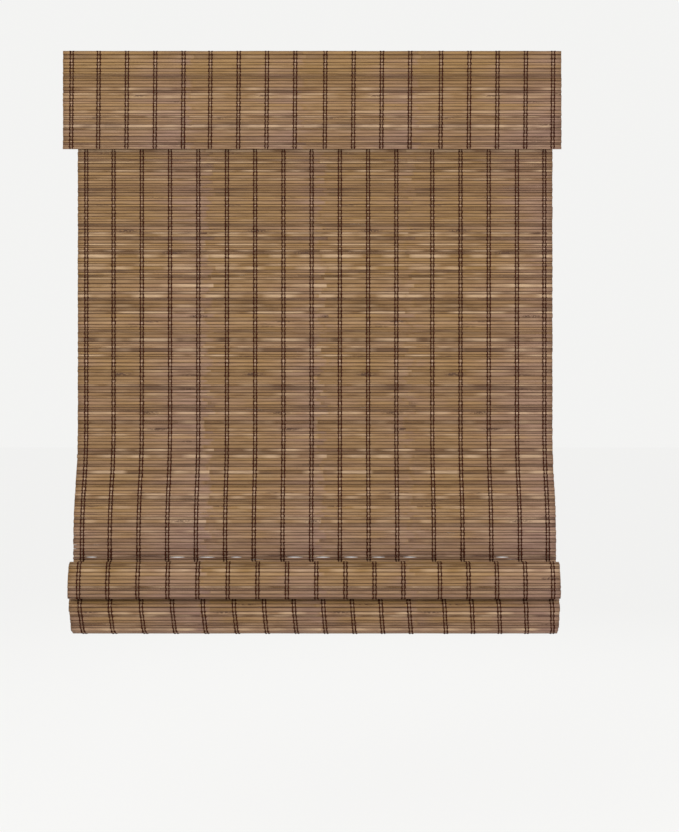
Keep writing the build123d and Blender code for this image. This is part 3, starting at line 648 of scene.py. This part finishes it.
def metal_material(name, colour, roughness, streak_scale):
    m = Material(name)
    place = m.add("ShaderNodeTexCoord").outputs["Object"]
    grain = m.noise(m.scaled(place, streak_scale), 1.0, 3.0)
    rough = m.math("ADD", m.math("MULTIPLY", grain, 0.18), roughness)
    tone = m.ramp(grain, [(0.25, tuple(c * 0.86 for c in colour[:3]) + (1,)), (0.75, colour)])
    m.bump(grain, 0.08, 0.0002)
    return m.surface(tone, rough, Metallic=1.0)


def painted_material(name, colour, roughness):
    m = Material(name)
    place = m.add("ShaderNodeTexCoord").outputs["Object"]
    cloud = m.noise(place, 14.0, 3.0)
    peel = m.noise(place, 900.0, 2.0)
    tone = m.ramp(cloud, [(0.3, tuple(c * 0.94 for c in colour[:3]) + (1,)), (0.7, colour)])
    m.bump(peel, 0.06, 0.0003)
    return m.surface(tone, m.math("ADD", m.math("MULTIPLY", cloud, 0.12), roughness))


def tape_material():
    """Hook-and-loop tape: a fine woven ground."""
    m = Material("fastening_tape")
    place = m.add("ShaderNodeTexCoord").outputs["Object"]
    wave = m.noise(m.scaled(place, (1400.0, 1400.0, 1400.0)), 1.0, 2.0)
    tone = m.ramp(wave, [(0.3, srgb(196, 186, 166)), (0.7, srgb(226, 218, 202))])
    m.bump(wave, 0.5, 0.0004)
    return m.surface(tone, 0.9, Sheen_Weight=0.2)


def dress(names, material):
    for name in names:
        piece = nodes[name]
        piece.data.materials.clear()
        piece.data.materials.append(material)


def pair_places(left, pitch, count, gaps):
    """Middles of the pairs of threads along a mat that starts at left."""
    places = []
    for k in range(count):
        shift = sum(extra * MM for before, extra in gaps if k >= before)
        places.append(left + WARP_EDGE + pitch * k + shift)
    return places


def seam_places(places, seams, share):
    """Where the dye starts again: a share of the way across each seam's gap."""
    return [places[k - 1] + share * (places[k] - places[k - 1]) for k in seams]


def straight(x):
    return lambda marks: np.full(np.shape(marks), x)


def leaning(x):
    """A thread on the valance: it drifts a little to the left on its way down."""
    return lambda marks: x + VALANCE_LEAN * (0.5 - marks / valance.length)


def wandering(x):
    """A thread on the folded foot: it shifts sideways where the mat turns over its creases."""
    share = min(1, max(0, (x - panel_left) / (panel_right - panel_left)))
    middle = math.sin(math.pi * share)
    ledge = (1.5 + 7.0 * middle) * MM
    loop = (-1.2 + 11.0 * middle) * MM
    skirt = (1.5 + 5.5 * (1 - share) ** 0.5) * MM
    ledge_end, fold_end, loop_end = 0.030, 0.105, 0.150
    skirt_top, hem_end = 0.205, 0.275

    def place(marks):
        shift = ledge * eased(marks / ledge_end)
        shift = shift + loop * eased((marks - fold_end) / (loop_end - fold_end))
        return x + shift + skirt * np.clip((marks - skirt_top) / (hem_end - skirt_top), 0, 1) ** 1.6

    return place


# The woven mats
PANEL_SEED, VALANCE_SEED, FOLD_SEED = 11, 5, 23
valance, panel, fold = valance_line(), panel_line(), fold_line()
yarn = yarn_material()
panel_xs = pair_places(panel_left, WARP_PITCH, PANEL_PAIRS, PANEL_GAPS)
uneven_gaps = sum(extra * MM for before, extra in VALANCE_GAPS)
valance_span = valance_high.x - valance_low.x - 2 * WARP_EDGE - uneven_gaps
valance_xs = pair_places(valance_low.x, valance_span / (VALANCE_PAIRS - 1), VALANCE_PAIRS, VALANCE_GAPS)
valance_stain = slat_material("valance_stain", valance_low.x, seam_places(valance_xs, VALANCE_SEAMS, 0.16))
panel_stain = slat_material("panel_stain", panel_left, seam_places(panel_xs, PANEL_SEAMS, 0.38))
# Slits of light just above the first fold, between some of the pairs
slit_rng = random.Random(3)
slits = []
for pair_x in panel_xs[:-1]:
    if slit_rng.random() < 0.55:
        start = pair_x + slit_rng.uniform(3, 8) * MM
        slits.append((start, start + slit_rng.uniform(14, 27) * MM))
valance_sides, panel_sides = (valance_low.x, valance_high.x), (panel_left, panel_right)
valance_places = [leaning(x) for x in valance_xs]
panel_places = [straight(x) for x in panel_xs]
fold_places = [wandering(x) for x in panel_xs]
valance_slats = woven_slats(
    "valance_slats", valance, valance_sides, valance_places, VALANCE_SEED, VALANCE_WARMTH,
)
panel_slats = woven_slats(
    "panel_slats", panel, panel_sides, panel_places, PANEL_SEED, PANEL_WARMTH, slits=slits,
)
fold_slats = woven_slats(
    "fold_slats", fold, panel_sides, fold_places, FOLD_SEED, FOLD_WARMTH, insets=(FOLD_LEFT, FOLD_RIGHT),
)

yarn_pieces = []
for name, line, places, seed in (
    ("valance_yarns", valance, valance_places, VALANCE_SEED),
    ("panel_yarns", panel, panel_places, PANEL_SEED),
    ("fold_yarns", fold, fold_places, FOLD_SEED),
):
    knotted = KNOTTED_LENGTH if line is panel else 0.0
    front = woven_yarns(name + "_front", line, places, (seed, seed + 100), 1, knotted=knotted)
    back = woven_yarns(name + "_back", line, places, (seed, seed + 200), -1, sides=4)
    yarn_pieces.append((front, back))

for piece, stain in ((valance_slats, valance_stain), (panel_slats, panel_stain), (fold_slats, panel_stain)):
    piece.data.materials.append(stain)
for pair in yarn_pieces:
    for piece in pair:
        piece.data.materials.append(yarn)

ROOT, FOOT = "headrail_unit", "foot"
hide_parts("valance_mat")
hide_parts("panel_mat")
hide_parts("fold_mat")
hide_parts("valance_warp")
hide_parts("panel_warp")
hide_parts("fold_warp")
for piece in (valance_slats, panel_slats) + yarn_pieces[0] + yarn_pieces[1]:
    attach(piece, ROOT)
for piece in (fold_slats,) + yarn_pieces[2]:
    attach(piece, FOOT)

# The panel's slats and yarns get meshes of their own, as the panel gathers towards its top when the foot
# rises
for piece in (panel_slats,) + yarn_pieces[1]:
    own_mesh(piece)

# Finishes of the CAD pieces
dress(["headrail"], painted_material("enamelled_steel", srgb(226, 222, 212), 0.32))
moulded = painted_material("moulded_white", srgb(230, 228, 222), 0.48)
dress(["end_cap_left", "end_cap_right", "motor_housing", "motor_cover"], moulded)
acetal = painted_material("moulded_acetal", srgb(236, 236, 232), 0.35)
dress(["spool_left", "spool_centre", "spool_right", "output_drum", "storage_drum"], acetal)
grey = painted_material("moulded_grey", srgb(206, 206, 202), 0.5)
dress([n for n in nodes if n.startswith(("spool_cradle", "cord_grommet"))], grey)
clear = painted_material("moulded_rings", srgb(232, 230, 218), 0.22)
dress([n for n in nodes if n.startswith("ring_row") or n.endswith("_rings")], clear)
zinc = metal_material("zinc_plate", srgb(176, 180, 184), 0.30, (90.0, 90.0, 90.0))
dress(["bracket_left", "bracket_right"], zinc)
dress(["lift_shaft"], metal_material("drawn_steel", srgb(168, 170, 174), 0.24, (20.0, 1200.0, 1200.0)))
dress(["power_spring"], metal_material("spring_steel", srgb(110, 116, 128), 0.28, (900.0, 40.0, 40.0)))
dress(["bottom_rail"], metal_material("mill_aluminium", srgb(200, 200, 198), 0.34, (12.0, 1500.0, 1500.0)))
brown = painted_material("moulded_brown", srgb(104, 78, 58), 0.5)
dress(["rail_cap_left", "rail_cap_right", "cord_anchors"], brown)
dress(["valance_tape", "panel_tape"], tape_material())


def area_lamp(name, location, target, size, power):
    lamp = bpy.data.lights.new(name, "AREA")
    lamp.shape = "RECTANGLE"
    lamp.size, lamp.size_y = size
    lamp.energy = power
    holder = bpy.data.objects.new(name, lamp)
    holder.location = location
    holder.rotation_euler = (Vector(target) - Vector(location)).to_track_quat("-Z", "Y").to_euler()
    bpy.context.scene.collection.objects.link(holder)


def pale_surround(tree, output, lit, share, colour):
    """Shows a plain pale surround to the camera, gloss and glass, over the lit shader's share."""
    rays = tree.nodes.new("ShaderNodeLightPath").outputs
    seen = rays["Is Camera Ray"]
    for other in ("Is Glossy Ray", "Is Transmission Ray"):
        either = tree.nodes.new("ShaderNodeMath")
        either.operation = "MAXIMUM"
        tree.links.new(seen, either.inputs[0])
        tree.links.new(rays[other], either.inputs[1])
        seen = either.outputs[0]
    weight = tree.nodes.new("ShaderNodeMath")
    weight.operation = "MULTIPLY"
    tree.links.new(seen, weight.inputs[0])
    weight.inputs[1].default_value = share
    plain = tree.nodes.new("ShaderNodeEmission" if share < 1 else "ShaderNodeBackground")
    plain.inputs["Color"].default_value = colour
    mix = tree.nodes.new("ShaderNodeMixShader")
    tree.links.new(weight.outputs[0], mix.inputs[0])
    tree.links.new(lit, mix.inputs[1])
    tree.links.new(plain.outputs[0], mix.inputs[2])
    tree.links.new(mix.outputs[0], output.inputs["Surface"])


PALE = (0.90, 0.90, 0.89, 1)
FLOOR_PALE = (0.955, 0.955, 0.945, 1)
world = bpy.data.worlds.new("studio")
bpy.context.scene.world = world
world.use_nodes = True
ambient = world.node_tree.nodes["Background"]
ambient.inputs["Color"].default_value = (1, 1, 1, 1)
ambient.inputs["Strength"].default_value = 0.62
pale_surround(world.node_tree, world.node_tree.nodes["World Output"], ambient.outputs[0], 1.0, PALE)

FLOOR_LEVEL = -1.35
bpy.ops.mesh.primitive_plane_add(size=60, location=(0, 0, FLOOR_LEVEL))
floor = bpy.context.active_object
floor.name = "floor"
floor_material = bpy.data.materials.new("pale_floor")
floor_material.use_nodes = True
floor_tree = floor_material.node_tree
floor_shader = floor_tree.nodes["Principled BSDF"]
floor_shader.inputs["Base Color"].default_value = srgb(244, 243, 241)
floor_shader.inputs["Roughness"].default_value = 0.9
pale_surround(floor_tree, floor_tree.nodes["Material Output"], floor_shader.outputs[0], 0.8, FLOOR_PALE)
floor.data.materials.append(floor_material)

# Camera at the photograph's angle: the distances below are in metres, the frame in pixels
PHOTO_WIDTH, PHOTO_HEIGHT = 679, 832
VALANCE_PIXELS = 499.0
VALANCE_CENTRE_PIXEL = 312.15
VALANCE_TOP_PIXEL = 50.8
CAMERA_DISTANCE = 2.0
valance_front = valance_y - MAT_THICKNESS / 2
pixel = (valance_high.x - valance_low.x) / VALANCE_PIXELS
camera_data = bpy.data.cameras.new("camera")
camera_data.sensor_width = 36.0
camera_data.lens = CAMERA_DISTANCE / (pixel * PHOTO_HEIGHT) * camera_data.sensor_width
camera = bpy.data.objects.new("camera", camera_data)
camera_x = (PHOTO_WIDTH / 2 - VALANCE_CENTRE_PIXEL) * pixel
camera_z = valance_high.z - (PHOTO_HEIGHT / 2 - VALANCE_TOP_PIXEL) * pixel
camera.location = (camera_x, valance_front - CAMERA_DISTANCE, camera_z)
camera.rotation_euler = (math.pi / 2, 0, 0)
bpy.context.scene.collection.objects.link(camera)
bpy.context.scene.camera = camera

MIDDLE = (0, 0, -0.45)
area_lamp("key", (-0.9, -2.2, 0.7), MIDDLE, (1.6, 1.6), 33.5)
area_lamp("fill", (1.4, -2.0, -0.5), MIDDLE, (1.6, 1.6), 17.0)
area_lamp("rear", (0.4, 2.2, 0.8), MIDDLE, (1.6, 1.6), 16.0)

bpy.context.scene.view_settings.view_transform = "Standard"
